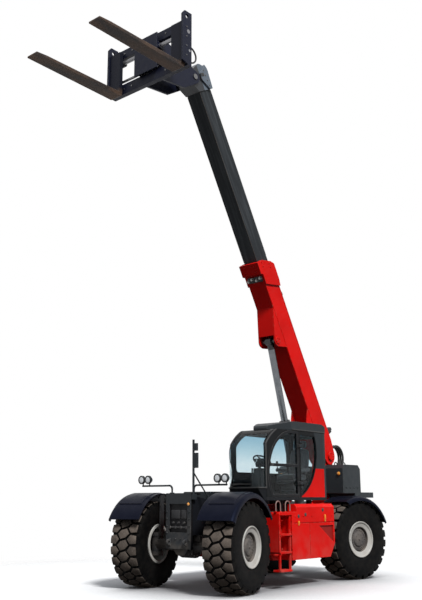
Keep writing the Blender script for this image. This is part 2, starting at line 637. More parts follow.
SLOTS, SLOT_END, SLOT_W = 6, 0.200, 0.110
bm = bmesh.new()
for slot in row((bay_low.x + SLOT_END, 0, 0), (bay_high.x - SLOT_END, 0, 0), SLOTS):
    for blade in row((0, 0, 0.975), (0, 0, 1.265), 6):
        add_blade(bm, (slot.x, bay_low.y + BLADE_IN, blade.z), SLOT_W, 0.036, 0.006, 0.001)
piece("bay_louvres", bm, "chassis", charcoal_enamel, slot="charcoal_paint")
HOOD_SLOTS, HOOD_SLOT_W = 4, 0.260
HOOD_SLOT_IN = 0.260 + HOOD_SLOT_W / 2
bm = bmesh.new()
for slot in row((bay_low.x + HOOD_SLOT_IN, 0, 0), (bay_high.x - HOOD_SLOT_IN, 0, 0), HOOD_SLOTS):
    for z in (1.528, 1.546, 1.564):
        add_blade(bm, (slot.x, hood_low.y + BLADE_IN, z), HOOD_SLOT_W, 0.028, 0.004, 0.0008)
piece("hood_louvres", bm, "hood", black_rubber)
LATCH_IN = 0.45
bm = bmesh.new()
for x in (hood_low.x + LATCH_IN, hood_high.x - LATCH_IN):
    spot = Vector((x, hood_low.y, hood_low.z + 0.045))
    add_box(bm, spot - Vector((0.018, 0.022, 0.030)), spot + Vector((0.018, 0.002, 0.070)), 0.006)
    add_box(bm, spot - Vector((0.030, 0.030, -0.045)), spot + Vector((0.030, -0.004, 0.062)), 0.006)
piece("hood_latches", bm, "hood", black_rubber)

# Rear ballast: two charcoal boxes beside the boom's foot on a thick shelf.
# Lifting eyes, amber markers in front and red lamps behind are bolted on.
dress(charcoal_enamel, "counterweight")
rear_low, rear_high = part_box("counterweight")
tail_lens = mottled(
    "tail_lens", (140.0, 0.3, 0.7, 0.0), (0.42, 0.012, 0.010), (0.62, 0.03, 0.02),
    {"Roughness": 0.2, "Coat Weight": 0.8})
BOX_FRONT, MARKER_Y, TAIL_LAMP_Y, LIFT_EYE_Y = rear_high.x, 0.80, 0.72, 0.60
bm = bmesh.new()
for side in (1, -1):
    add_marker(bm, (BOX_FRONT, side * MARKER_Y, rear_high.z - 0.20), AHEAD, 0.040)
piece("rear_markers", bm, "chassis", amber_lens, black_rubber)
bm = bmesh.new()
for side in (1, -1):
    middle = Vector((rear_low.x, side * TAIL_LAMP_Y, rear_low.z + 0.06))
    add_box(bm, middle - Vector((0.028, 0.13, 0.042)), middle + Vector((SEAT_IN, 0.13, 0.042)), 0.008, 1)
    add_box(bm, middle - Vector((0.040, 0.118, 0.032)), middle + Vector((-0.024, -0.004, 0.032)), 0.005)
    add_box(bm, middle + Vector((-0.040, 0.004, -0.032)), middle + Vector((-0.024, 0.118, 0.032)), 0.005)
piece("tail_lamps", bm, "chassis", tail_lens, black_rubber)
EYE_HALF, EYE_TALL, EYE_ROD, EYE_ROOT = 0.055, 0.060, 0.012, 0.01
BOX_BOLT, BOX_BOLT_Z = 0.016, rear_low.z + 0.22
bm = bmesh.new()
for side in (1, -1):
    for x in (BOX_FRONT - 0.20, BOX_FRONT - 0.55):
        foot = Vector((x, side * LIFT_EYE_Y, rear_high.z))
        loop = [foot + Vector((EYE_HALF, 0, -EYE_ROOT))]
        for i in range(11):
            turn = math.pi * i / 10
            loop.append(foot + Vector((EYE_HALF * math.cos(turn), 0, EYE_TALL * math.sin(turn))))
        loop.append(foot + Vector((-EYE_HALF, 0, -EYE_ROOT)))
        add_tube(bm, loop, EYE_ROD, 12)
    y = side * rear_high.y
    spots = row((BOX_FRONT - 0.14, y, BOX_BOLT_Z), (BOX_FRONT - 0.62, y, BOX_BOLT_Z), 4)
    add_bolts(bm, spots, (0, side, 0), BOX_BOLT)
piece("ballast_eyes", bm, "chassis", charcoal_enamel, slot="charcoal_paint")

# Cab shell: charcoal rear wall and roof, black floor and right wall, and a red lower corner at the rear left.
# The roof has a sloping front visor, and the walls carry bonded glass in black rubber.
dress(charcoal_enamel, "cab_rear_wall", "cab_roof")
cab_black = enamel("cab_black", (0.008, 0.009, 0.011), (0.06, 0.06, 0.06), 0.45, 0.3, 1.5, gloss=0.1)
dress(cab_black, "cab_floor", "cab_right_wall")
floor_low, floor_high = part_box("cab_floor")
roof_low, roof_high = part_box("cab_roof")
two_tone = red_paint("two_tone_panel", 0.3)
tree = two_tone.node_tree
RED_TOP, GLAZED_FROM = 2.275, front_x - 1.974
repaint(tree, along(tree, UP, RED_TOP - 0.004, RED_TOP + 0.004), CHARCOAL)
right_low, right_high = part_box("cab_right_wall")
FLOOR_RISE, WALL_GAP = 0.2297, 0.0003
CAB_BOTTOM = floor_high.z - FLOOR_RISE
SCREEN_X = right_high.x + WALL_GAP
ARCH_X, ARCH_Z, ARCH_R = SCREEN_X - 0.800, CAB_BOTTOM + 0.960, 0.940


def from_line(tree, x, z):
    """The distance from a line across the machine, at a place along it and a height."""
    place = tree.nodes.new("ShaderNodeTexCoord")
    flat = tree.nodes.new("ShaderNodeVectorMath")
    flat.operation = "MULTIPLY_ADD"
    flat.inputs[1].default_value = (1, 0, 1)
    flat.inputs[2].default_value = (-x, 0, -z)
    away = tree.nodes.new("ShaderNodeVectorMath")
    away.operation = "LENGTH"
    tree.links.new(place.outputs["Object"], flat.inputs[0])
    tree.links.new(flat.outputs["Vector"], away.inputs[0])
    return away.outputs["Value"]


arch = spread(tree, from_line(tree, ARCH_X, ARCH_Z), ARCH_R + 0.018, ARCH_R + 0.014)
ahead = along(tree, AHEAD, GLAZED_FROM, GLAZED_FROM + 0.008)
repaint(tree, times(tree, arch, ahead, "MAXIMUM"), (0.006, 0.007, 0.008))
dress(two_tone, "cab_side_panel")

# Cab glass: tinted safety panes, with a bowed windscreen that wraps round the front corners.
# Black rubber beads seal the panes, a dark scalloped band runs along the windscreen's top,
# and one wiper rests on its lower edge.
tinted_glass, tree = new_material("tinted_glass")
smears = grain(tree, 3.0, 0.35, 0.8, 6.0)
shade = over(tree, smears, (0.80, 0.88, 0.90), (0.72, 0.82, 0.86))
deeper = along(tree, UP, 2.32, 2.95)
feed(tree, over(tree, deeper, shade, (0.46, 0.65, 0.74)))
settings(tree, {"Roughness": 0.0, "IOR": 1.15, "Transmission Weight": 1.0})
dress(tinted_glass, "cab_glass", "door_glass")
screen_low, screen_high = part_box("cab_windscreen")
screen_glass = tinted_glass.copy()
screen_glass.name = "screen_glass"
tree = screen_glass.node_tree
BAND_LOW, SCALLOP_DROP = 2.935, 0.030
place = tree.nodes.new("ShaderNodeTexCoord")
scallops = tree.nodes.new("ShaderNodeTexWave")
scallops.bands_direction = "Y"
scallops.inputs["Scale"].default_value = 2.6
tree.links.new(place.outputs["Object"], scallops.inputs["Vector"])
split = tree.nodes.new("ShaderNodeSeparateXYZ")
tree.links.new(place.outputs["Object"], split.inputs["Vector"])
drop = tree.nodes.new("ShaderNodeMath")
drop.operation = "MULTIPLY_ADD"
drop.inputs[1].default_value = SCALLOP_DROP
tree.links.new(scallops.outputs["Fac"], drop.inputs[0])
tree.links.new(split.outputs["Z"], drop.inputs[2])
band = spread(tree, drop.outputs["Value"], BAND_LOW, BAND_LOW + 0.004)
repaint(tree, band, (0.010, 0.012, 0.018))
dress(screen_glass, "cab_windscreen")
BOW_R, BOW_X, BOW_Z = 0.950, SCREEN_X - 0.760, CAB_BOTTOM + 0.510
CORNER_R, PLAN_LEN = 0.250, 0.200


def bow_reach(z):
    """How far forward the windscreen's bow is at a height."""
    return BOW_X + math.sqrt(BOW_R ** 2 - (z - BOW_Z) ** 2)


def screen_path(z, gap):
    """A line round the windscreen at a height, from its right rear edge to its left one."""
    reach = min(bow_reach(z), SCREEN_X + PLAN_LEN) + gap
    low, high = floor_low.y - gap, floor_high.y + gap
    radius = CORNER_R + gap
    middle = SCREEN_X + PLAN_LEN - CORNER_R
    start = math.asin((SCREEN_X - middle) / radius)
    end = math.asin(min((reach - middle) / radius, 1.0))
    arc = [start + (end - start) * i / 7 for i in range(8)]
    near = [(middle + radius * math.sin(a), low + radius - radius * math.cos(a), z) for a in arc]
    return near + [(x, low + high - y, z) for x, y, z in reversed(near)]


SILL_BEAD_R, SIDE_BEAD_R, BEAD_LIP, BEAD_STEPS = 0.014, 0.012, 0.004, 8
BOW_EDGE_Z = BOW_Z + math.sqrt(BOW_R ** 2 - (SCREEN_X - BOW_X) ** 2)
bm = bmesh.new()
add_tube(bm, screen_path(screen_low.z + 0.008, BEAD_LIP), SILL_BEAD_R, 10)
for y in (floor_low.y + BEAD_LIP, floor_high.y - BEAD_LIP):
    edge = [(SCREEN_X - 0.002, y, z) for z in (screen_low.z, BOW_EDGE_Z)]
    for i in range(1, BEAD_STEPS + 1):
        z = BOW_EDGE_Z + (screen_high.z - SIDE_BEAD_R - BOW_EDGE_Z) * i / BEAD_STEPS
        edge.append((bow_reach(z) - BEAD_LIP, y, z))
    add_tube(bm, edge, SIDE_BEAD_R, 10)
piece("screen_gasket", bm, "chassis", black_rubber)

WIPER_Z = screen_low.z + 0.075
WIPER_FROM, WIPER_TO, WIPER_HALF = 0.50, 1.02, 0.006
WIPER_FOOT_Y, WIPER_FOOT_Z = 0.52, screen_low.z + 0.030
blade_x = bow_reach(WIPER_Z) + 0.016
foot_x = bow_reach(WIPER_FOOT_Z)
bm = bmesh.new()
blade_back = (blade_x - 0.010, WIPER_FROM, WIPER_Z - WIPER_HALF)
add_box(bm, blade_back, (blade_x + 0.004, WIPER_TO, WIPER_Z + WIPER_HALF), 0.003)
add_box(bm, (blade_x - 0.004, WIPER_FROM, WIPER_Z + 0.002), (blade_x + 0.008, 0.78, WIPER_Z + 0.014), 0.003)
add_disc(bm, (foot_x - 0.01, WIPER_FOOT_Y, WIPER_FOOT_Z), AHEAD, 0.022, 0.040, 20, 0.016)
add_tube(bm, [(foot_x + 0.022, WIPER_FOOT_Y, WIPER_FOOT_Z), (blade_x + 0.010, 0.62, WIPER_Z - 0.01),
              (blade_x + 0.006, 0.76, WIPER_Z + 0.006)], 0.007, 10)
piece("screen_wiper", bm, "chassis", black_rubber)


def rounded_path(low, high, radius, across):
    """A closed line round a window, set into its wall by a function of two coordinates."""
    centres = ((high[0] - radius, high[1] - radius, 0), (low[0] + radius, high[1] - radius, 90),
               (low[0] + radius, low[1] + radius, 180), (high[0] - radius, low[1] + radius, 270))
    corners = []
    for a, b, start in centres:
        for i in range(6):
            turn = math.radians(start + 18 * i)
            corners.append((a + radius * math.cos(turn), b + radius * math.sin(turn)))
    points = []
    for (a, b), (c, d) in zip(corners, corners[1:] + corners[:1]):
        steps = 1 if math.hypot(c - a, d - b) < radius else 16
        points += [across(a + (c - a) * i / steps, b + (d - b) * i / steps) for i in range(steps)]
    return points + points[:1]


def behind_bow(x, z, inset):
    """Holds a point of a side window back behind the windscreen's bow."""
    rise = max((BOW_R - inset) ** 2 - (z - BOW_Z) ** 2, 0.0)
    return min(x, BOW_X + math.sqrt(rise))


WINDOW_EDGE, WINDOW_R, BEAD_IN, BEAD_R = 0.110, 0.080, 0.006, 0.010
WINDOW_LOW = CAB_BOTTOM + 0.540
WINDOW_HIGH = screen_high.z - 0.090
back_low, back_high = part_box("cab_rear_wall")
bm = bmesh.new()
for y in (right_low.y + BEAD_IN, right_high.y - BEAD_IN):
    add_tube(bm, rounded_path(
        (right_low.x + WINDOW_EDGE, WINDOW_LOW), (right_high.x - WINDOW_EDGE, WINDOW_HIGH), WINDOW_R,
        lambda a, b: (behind_bow(a, b, WINDOW_EDGE), y, b)), BEAD_R, 8)
for x in (back_low.x + BEAD_IN, back_high.x - BEAD_IN):
    add_tube(bm, rounded_path(
        (back_low.y + WINDOW_EDGE, WINDOW_LOW), (back_high.y - WINDOW_EDGE, WINDOW_HIGH), WINDOW_R,
        lambda a, b: (x, a, b)), BEAD_R, 8)
piece("window_gaskets", bm, "chassis", black_rubber)

# Roof trim: a black gutter along each side and a round vent on top, held by a ring of bolts.
# The gutter is a pressed strip that hides the seam between roof and walls.
GUTTER_LOW, GUTTER_HIGH, GUTTER_HALF = roof_low.z + 0.004, roof_low.z + 0.026, 0.009
bm = bmesh.new()
for y in (roof_low.y - 0.006, roof_high.y + 0.006):
    back_corner = (roof_low.x + 0.02, y - GUTTER_HALF, GUTTER_LOW)
    add_box(bm, back_corner, (SCREEN_X - 0.88, y + GUTTER_HALF, GUTTER_HIGH), 0.004)
piece("roof_gutters", bm, "chassis", black_rubber)
VENT_TALL, VENT_BOLT_R, VENT_BOLTS = 0.020, 0.128, 8
roof_middle = (roof_low + roof_high) / 2
vent = Vector((roof_middle.x - 0.35, roof_middle.y, roof_high.z - SEAT_IN))
bm = bmesh.new()
add_disc(bm, vent, UP, 0.150, VENT_TALL, 40, 0.140)
add_disc(bm, vent + Vector((0, 0, VENT_TALL)), UP, 0.110, 0.016, 40, 0.090)
add_bolts(bm, ring(vent + Vector((0, 0, 0.018)), VENT_BOLT_R, VENT_BOLTS, (0, 1)), UP, 0.008)
piece("roof_vent", bm, "chassis", charcoal_enamel, slot="charcoal_paint")

# Door: a thin black frame with a bowed front edge and a rail, hinged at the rear.
# Its edges are rubbed grey, and a black lever handle and a grab tube are screwed to it.
door_black = enamel("door_black", (0.007, 0.008, 0.010), (0.22, 0.22, 0.22), 0.35, 0.3, 1.8, gloss=0.1)
tree = door_black.node_tree
bead = times(tree, worn_edges(tree, 0.016, 0.12), 0.7)
repaint(tree, bead, (0.085, 0.080, 0.075))
dress(door_black, "door_frame")
door_low, door_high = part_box("door_frame")
DOOR_FACE = floor_high.y
handle = Vector((door_high.x - 0.105, DOOR_FACE, CAB_BOTTOM + 0.675))
bm = bmesh.new()
add_box(bm, handle - Vector((0.060, SEAT_IN, 0.022)), handle + Vector((0.035, 0.014, 0.022)), 0.006)
add_box(bm, handle + Vector((-0.055, 0.012, -0.010)), handle + Vector((0.028, 0.030, 0.010)), 0.006)
piece("door_handle", bm, "door", black_rubber)
grab_x = door_low.x + 0.075
rail = [(0.066, 0.30), (0.110, 0.33), (0.110, 0.60), (0.058, 0.63)]
bm = bmesh.new()
add_tube(bm, [(grab_x, DOOR_FACE - inward, CAB_BOTTOM + rise) for inward, rise in rail], 0.011, 12)
piece("door_grab", bm, "door", black_rubber)

# Operator's seat: a sprung black base with a fabric cushion, backrest, headrest and two armrests.
# The foam forms are crowned and drawn in between their corners, and the base is folded rubber.
seat_low, seat_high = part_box("operator_seat")
SEAT = Vector((seat_low.x + 0.41, (seat_low.y + seat_high.y) / 2, seat_low.z))
matte_plastic, tree = new_material("matte_plastic")
moulded = grain(tree, 160.0, 0.3, 0.7, 3.0)
feed(tree, over(tree, moulded, (0.016, 0.016, 0.018), (0.030, 0.030, 0.032)))
settings(tree, {"Roughness": 0.55})
emboss(tree, moulded, 0.25, 0.001)
seat_fabric, tree = new_material("seat_fabric")
place = tree.nodes.new("ShaderNodeTexCoord")
weave = tree.nodes.new("ShaderNodeTexWave")
weave.inputs["Scale"].default_value = 190.0
weave.inputs["Distortion"].default_value = 1.5
tree.links.new(place.outputs["Object"], weave.inputs["Vector"])
threads = weave.outputs["Fac"]
feed(tree, over(tree, threads, (0.020, 0.020, 0.023), (0.060, 0.060, 0.066)))
settings(tree, {"Roughness": 0.9, "Sheen Weight": 0.3})
emboss(tree, threads, 0.4, 0.001)
FOLDS, FOLD_TALL, FOLD_HALF, FOLD_INSET = 4, 0.07, 0.175, 0.012
bm = bmesh.new()
for i in range(FOLDS):
    half = FOLD_HALF - FOLD_INSET * (i % 2)
    low = SEAT + Vector((-half, -half, FOLD_TALL * i))
    add_box(bm, low, SEAT + Vector((half, half, FOLD_TALL * i + 0.069)), 0.010)
add_box(bm, SEAT + Vector((-0.24, -0.22, 0.280)), SEAT + Vector((0.24, 0.22, 0.335)), 0.012)
add_box(bm, SEAT + Vector((-0.29, -0.06, 0.300)), SEAT + Vector((-0.22, 0.06, 0.52)), 0.012)
base = piece("seat_base", bm, "chassis", matte_plastic, slot="interior_black")
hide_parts("operator_seat")


def cushion(name, low, high, lean, crown_by=0.18):
    """A stuffed form: a block swollen at its middle, with its sides drawn in."""
    low, high = Vector(low), Vector(high)
    half = (high - low) / 2
    bm = bmesh.new()
    bmesh.ops.create_cube(bm, size=2.0)
    bmesh.ops.subdivide_edges(bm, edges=bm.edges[:], cuts=9, use_grid_fill=True)
    for vert in bm.verts:
        p = vert.co.copy()
        x, y, z = [1 - a ** 2 for a in p]
        puff = x * y + y * z + x * z
        rounded = p.normalized() * max(abs(p.x), abs(p.y), abs(p.z)) * 1.28
        shape = p.lerp(rounded, 0.30) * (1 - crown_by / 2 + crown_by * puff / 2)
        vert.co = Vector(max(-1.0, min(1.0, a)) * b for a, b in zip(shape, half))
    bmesh.ops.transform(
        bm, matrix=Matrix.Translation((low + high) / 2) @ Matrix.Rotation(math.radians(lean), 4, "Y"),
        verts=bm.verts[:])
    made = piece(name, bm, "chassis", seat_fabric, slot="interior_black", smooth=1.2)
    soft = made.modifiers.new("soft", "SUBSURF")
    soft.levels = 1
    soft.render_levels = 1


for name, low, high, lean, fill in (
        ("seat_cushion", (-0.25, -0.25, 0.338), (0.25, 0.25, 0.465), 0, 0.75),
        ("seat_backrest", (-0.345, -0.23, 0.44), (-0.235, 0.23, 1.00), -10, 0.75),
        ("seat_headrest", (-0.420, -0.125, 1.010), (-0.335, 0.125, 1.170), -10, 0.8)):
    cushion(name, SEAT + Vector(low), SEAT + Vector(high), lean)
ARM_Y = 0.2923
for side, name in ((1, "left"), (-1, "right")):
    cushion("seat_arm_" + name, SEAT + Vector((-0.23, side * ARM_Y - 0.030, 0.52)),
            SEAT + Vector((0.13, side * ARM_Y + 0.030, 0.59)), 0, 0.08)

# Controls: a moulded console with the steering wheel, a small screen and a lever on each armrest.
# They are black plastic, and the screen stands on a bracket beside the column.
dress(matte_plastic, "control_console")
bm = bmesh.new()
for side in (1, -1):
    foot = SEAT + Vector((0.085, side * ARM_Y, 0.585))
    add_disc(bm, foot, UP, 0.028, 0.020, 20, 0.018)
    add_tube(bm, [foot, foot + Vector((0.010, 0, 0.06)), foot + Vector((0.012, 0, 0.10))], 0.009, 10)
    add_disc(bm, foot + Vector((0.012, 0, 0.085)), (0.1, 0, 1), 0.020, 0.070, 16, 0.024)
stand = Vector((SCREEN_X - 0.20, floor_high.y - 0.30, CAB_BOTTOM))
screen = Matrix.Translation(stand + Vector((0, 0, 0.72))) @ Matrix.Rotation(math.radians(20), 4, "Y")
add_box(bm, (-0.018, -0.12, -0.085), (0.018, 0.12, 0.085), 0.010, 0, screen)
bracket = [stand + Vector((x, 0, z)) for x, z in ((0.01, 0.66), (0.05, 0.45), (0.06, 0.22))]
add_tube(bm, bracket, 0.014, 12)
piece("cab_controls", bm, "chassis", matte_plastic, slot="interior_black")

# Work lamps: bowls on bent stalks with a black ring, a bright reflector and a ribbed lens.
# The marker pole beside them is a painted tube with two dark plates.
dress(charcoal_enamel, "work_lamps", "marker_pole")
lamp_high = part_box("work_lamps")[1]
bright_metal = mottled(
    "bright_metal", (25.0, 0.3, 0.8, 6.0), (0.80, 0.80, 0.80), (0.62, 0.62, 0.63),
    {"Metallic": 1.0, "Roughness": 0.15})
lamp_lens = mottled(
    "lamp_lens", (90.0, 0.35, 0.65, 0.0), (0.90, 0.92, 0.93), (0.74, 0.77, 0.80),
    {"Roughness": 0.12, "Coat Weight": 1.0})
LAMP_R, LAMP_Y, LAMP_RING_R = 0.082, (0.905, 1.085), 0.074
lens_dome = ((-0.014, 0.066), (-0.004, 0.056), (0.002, 0.040), (0.004, 0.012))
bm = bmesh.new()
for side in (1, -1):
    for y in LAMP_Y:
        face = Vector((lamp_high.x, side * y, lamp_high.z - LAMP_R))
        add_disc(bm, face + Vector((-0.024, 0, 0)), AHEAD, 0.066, 0.010, 40, 0.066, 1)
        for (x0, r0), (x1, r1) in zip(lens_dome, lens_dome[1:]):
            add_disc(bm, face + Vector((x0, 0, 0)), AHEAD, r0, x1 - x0, 40, r1)
        bezel = ring(face + Vector((-0.004, 0, 0)), LAMP_RING_R, 40, (1, 2))
        add_tube(bm, bezel + bezel[:1], 0.009, 8, 2)
piece("lamp_lenses", bm, "chassis", lamp_lens, bright_metal, black_rubber)

# Boom: two telescoping box sections, the outer one welded from red plate with a collar at its nose.
# Pads are bolted round the collar, and red caps close the pins at the pivot and the lift eye.
# Clamps hold three hydraulic lines along its back, and hose couplings sit under its nose.
DOWN, BEHIND = (0, 0, -1), (-1, 0, 0)
dress(red_enamel, "outer_boom")
pivot = Vector(joints["boom_lift"]["pos_m"])


def lying_along(direction):
    """Turns +X to a direction in the machine's middle plane and keeps +Y."""
    ahead, left = Vector(direction), Vector(LEFT)
    return Matrix((ahead, left, ahead.cross(left))).transposed().to_4x4()


boom_turn = lying_along(joints["boom_extend"]["axis"])
BOOM = Matrix.Translation(pivot) @ boom_turn


def on_boom(bm):
    """Moves a mesh drawn along the boom, with its back up, to the raised boom."""
    bmesh.ops.transform(bm, matrix=BOOM, verts=bm.verts[:])
    return bm


OUTER_LEN, BACK, HALF_W = 4.950, 0.250, 0.230
COLLAR_W, COLLAR_BACK, COLLAR_LOW = 0.264, 0.284, 0.320
PAD_BOLT, BACK_BOLT, PAD_Y = 0.014, 0.016, 0.14
bm = bmesh.new()
for side in (1, -1):
    for behind, n in ((0.14, -0.16), (0.05, -0.16), (0.24, 0.10), (0.15, 0.10)):
        add_bolts(bm, [(OUTER_LEN - behind, side * COLLAR_W, n)], (0, side, 0), PAD_BOLT)
    for behind in (0.50, 0.30):
        add_bolts(bm, [(OUTER_LEN - behind, side * PAD_Y, COLLAR_BACK)], UP, BACK_BOLT)
    for behind in (0.20, 0.07):
        add_bolts(bm, [(OUTER_LEN - behind, side * PAD_Y, -COLLAR_LOW)], DOWN, PAD_BOLT)
piece("collar_bolts", on_boom(bm), "boom", red_enamel, slot="red_paint")
PIVOT_CAP_Y, PIVOT_CAP_TALL, CAP_SCREW = 0.249, 0.016, 0.012
bm = bmesh.new()
for side in (1, -1):
    add_disc(bm, (0, side * PIVOT_CAP_Y, 0), (0, side, 0), 0.105, PIVOT_CAP_TALL, 48, 0.102)
    cap_face = (0, side * (PIVOT_CAP_Y + PIVOT_CAP_TALL), 0)
    add_bolts(bm, ring(cap_face, 0.082, 6), (0, side, 0), CAP_SCREW)
piece("pivot_caps", on_boom(bm), "boom", red_enamel, slot="red_paint")
SEAM_R, SEAM_IN, SEAM_FROM = 0.007, 0.016, 0.95
bm = bmesh.new()
for side in (1, -1):
    y = side * (HALF_W + 0.001)
    for n, end in ((BACK - SEAM_IN, 4.20), (-BACK + SEAM_IN, 4.39)):
        add_tube(bm, [(SEAM_FROM, y, n), (2.6, y, n), (end, y, n)], SEAM_R, 8)
piece("boom_welds", on_boom(bm), "boom", red_enamel, slot="red_paint")
CLAMP_TOP = BACK + 0.062
bm = bmesh.new()
for s in (1.25, 2.05, 2.85, 3.65):
    add_box(bm, (s - 0.030, -0.10, BACK - SEAT_IN), (s + 0.030, 0.10, BACK + 0.020), 0.006)
    add_box(bm, (s - 0.022, -0.085, BACK + 0.018), (s + 0.022, 0.085, CLAMP_TOP), 0.012)
    add_bolts(bm, [(s, -0.06, CLAMP_TOP), (s, 0.06, CLAMP_TOP)], UP, 0.010)
add_box(bm, (0.60, -0.11, BACK - SEAT_IN), (0.76, 0.11, BACK + 0.050), 0.008)
add_box(bm, (0.70, -0.09, BACK + 0.040), (0.74, 0.09, BACK + 0.115), 0.008)
add_box(bm, (0.43, 0.12, BACK - 0.004), (0.56, 0.215, BACK + 0.150), 0.010)
add_box(bm, (0.46, 0.10, BACK + 0.140), (0.53, 0.205, BACK + 0.200), 0.012)
piece("boom_clamps", on_boom(bm), "boom", black_casting, slot="cast")
line_course = ((0.68, 0.072), (1.0, 0.043), (2.4, 0.041), (3.70, 0.041), (3.90, 0.020), (3.96, -0.010))
bm = bmesh.new()
for y in (-0.045, 0.0, 0.045):
    add_tube(bm, [(s, y, BACK + rise) for s, rise in line_course], 0.014, 10)
piece("boom_lines", on_boom(bm), "boom", black_rubber, slot="hose")
COUPLING_S = 4.560
coupling_steps = ((0.002, 0.034, 0.020, 6), (-0.016, 0.024, 0.034, 20), (-0.046, 0.030, 0.018, 6))
bm = bmesh.new()
for i, y in enumerate((-0.17, -0.06, 0.06, 0.17)):
    s = COUPLING_S - 0.010 + 0.035 * (i % 2)
    for rise, radius, depth, sides in coupling_steps:
        add_disc(bm, (s, y, -BACK + rise), DOWN, radius, depth, sides)
add_box(bm, (COUPLING_S - 0.065, -0.205, -BACK - 0.012), (COUPLING_S + 0.065, 0.205, -BACK + 0.004), 0.005, 1)
add_box(bm, (3.97, 0.165, BACK - 0.004), (4.06, 0.220, BACK + 0.040), 0.010)
add_disc(bm, (4.015, 0.192, BACK + 0.038), UP, 0.022, 0.020, 24, 0.016)
piece("nose_couplings", on_boom(bm), "boom", bolt_steel, black_casting, slot="steel")
EYE_S, EYE_N, EYE_CAP_TALL = 3.140, 0.475, 0.014
bm = bmesh.new()
for side in (1, -1):
    add_disc(bm, (EYE_S, side * HALF_W, -EYE_N), (0, side, 0), 0.085, EYE_CAP_TALL, 40, 0.082)
    cap_face = (EYE_S, side * (HALF_W + EYE_CAP_TALL), -EYE_N)
    add_bolts(bm, ring(cap_face, 0.055, 5), (0, side, 0), CAP_SCREW)
piece("eye_caps", on_boom(bm), "boom", red_enamel, slot="red_paint")

# Inner boom and head: a black box section, polished in streaks where it slides through the pads,
# with a blue-grey head cover that is bolted over the casting for the carriage pin.
slide_black, tree = new_material("slide_black")
edges = worn_edges(tree, 0.012, 0.06)
place = tree.nodes.new("ShaderNodeTexCoord")
lengthwise = tree.nodes.new("ShaderNodeMapping")
lengthwise.vector_type = "TEXTURE"
lengthwise.inputs["Rotation"].default_value = boom_turn.to_euler()
lengthwise.inputs["Scale"].default_value = (14.0, 1.0, 1.0)
streaks = tree.nodes.new("ShaderNodeTexNoise")
streaks.inputs["Scale"].default_value = 16.0
streaks.inputs["Detail"].default_value = 6.0
tree.links.new(place.outputs["Object"], lengthwise.inputs["Vector"])
tree.links.new(lengthwise.outputs["Vector"], streaks.inputs["Vector"])
rubbed = spread(tree, streaks.outputs["Fac"], 0.46, 0.72)
shade = over(tree, rubbed, (0.018, 0.021, 0.024), (0.042, 0.049, 0.055))
feed(tree, over(tree, times(tree, edges, 0.7), shade, (0.16, 0.12, 0.09)))
feed(tree, spread(tree, streaks.outputs["Fac"], 1.1, -0.1), "Roughness")
settings(tree, {"Specular IOR Level": 0.12})
dress(slide_black, "inner_boom")
head_paint = enamel("head_paint", (0.115, 0.145, 0.180), (0.25, 0.26, 0.27), 0.35, 0.0, 1.2, coat=0.25)
tree = head_paint.node_tree
back_up = boom_turn.to_3x3() @ Vector(UP)
HEAD_LINE = pivot.dot(back_up) - 0.030
repaint(tree, along(tree, back_up, HEAD_LINE + 0.010, HEAD_LINE), (0.020, 0.022, 0.026))
dress(head_paint, "boom_head")
HEAD_S, HEAD_Y, HEAD_BOLT = 9.200, 0.234, 0.014
bm = bmesh.new()
for side in (1, -1):
    y = side * HEAD_Y
    add_bolts(bm, row((HEAD_S - 0.24, y, 0.15), (HEAD_S + 0.10, y, 0.12), 4), (0, side, 0), HEAD_BOLT)
    add_box(bm, (HEAD_S - 0.02, y - 0.006, -0.015), (HEAD_S + 0.055, y + 0.006, 0.085), 0.005, 1)
piece("head_bolts", on_boom(bm), "telescope", bolt_steel, black_rubber)
INNER_HALF_W, INNER_HALF_TALL, INNER_FROM, INNER_TO = 0.178, 0.203, 4.99, 8.86
bm = bmesh.new()
for n in (-INNER_HALF_TALL, INNER_HALF_TALL):
    for y in (-INNER_HALF_W, INNER_HALF_W):
        add_tube(bm, [(INNER_FROM, y, n), (7.0, y, n), (INNER_TO, y, n)], 0.006, 8)
piece("inner_welds", on_boom(bm), "telescope", slide_black, slot="inner_boom_black")

# Fork carriage: a welded frame in blue-black enamel that hangs on the head's pin.
# The forks slide on a polished rod, moved by a second rod below it, and a hose loops behind its left end.
carriage_low, carriage_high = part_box("fork_carriage")
navy_enamel = enamel("navy_enamel", (0.008, 0.010, 0.024), (0.10, 0.10, 0.11), 0.35, 0.0, 1.2, gloss=0.15)
tree = navy_enamel.node_tree
BACK_X = carriage_high.x - 0.260
CARRIAGE_TOP = carriage_high.z - 0.110
rods = ((BACK_X + 0.090, CARRIAGE_TOP - 0.320, 0.042), (BACK_X + 0.055, carriage_low.z + 0.330, 0.028))
near_rods = [spread(tree, from_line(tree, x, z), radius + 0.0012, radius + 0.0004) for x, z, radius in rods]
shine = times(tree, *near_rods, "MAXIMUM")
repaint(tree, shine, (0.26, 0.26, 0.27))
feed(tree, shine, "Metallic")
dress(navy_enamel, "fork_carriage")
machined_steel = mottled(
    "machined_steel", (30.0, 0.3, 0.7, 6.0), (0.24, 0.24, 0.24), (0.14, 0.14, 0.14),
    {"Metallic": 1.0, "Roughness": 0.3})
dress(machined_steel, "carriage_pin")
BAR_FACE, BAR_BOLT, END_BOLT, END_BOLT_X = BACK_X + 0.110, 0.015, 0.014, BACK_X + 0.15
bm = bmesh.new()
for y in (-0.95, -0.72, -0.49, 0.49, 0.72, 0.95):
    for z in (CARRIAGE_TOP - 0.120, carriage_low.z + 0.115):
        add_bolts(bm, [(BAR_FACE, y, z)], AHEAD, BAR_BOLT)
for side in (1, -1):
    y = side * carriage_high.y
    spots = row((END_BOLT_X, y, carriage_low.z + 0.20), (END_BOLT_X, y, carriage_high.z - 0.35), 4)
    add_bolts(bm, spots, (0, side, 0), END_BOLT)
piece("carriage_bolts", bm, "carriage", machined_steel, slot="steel")
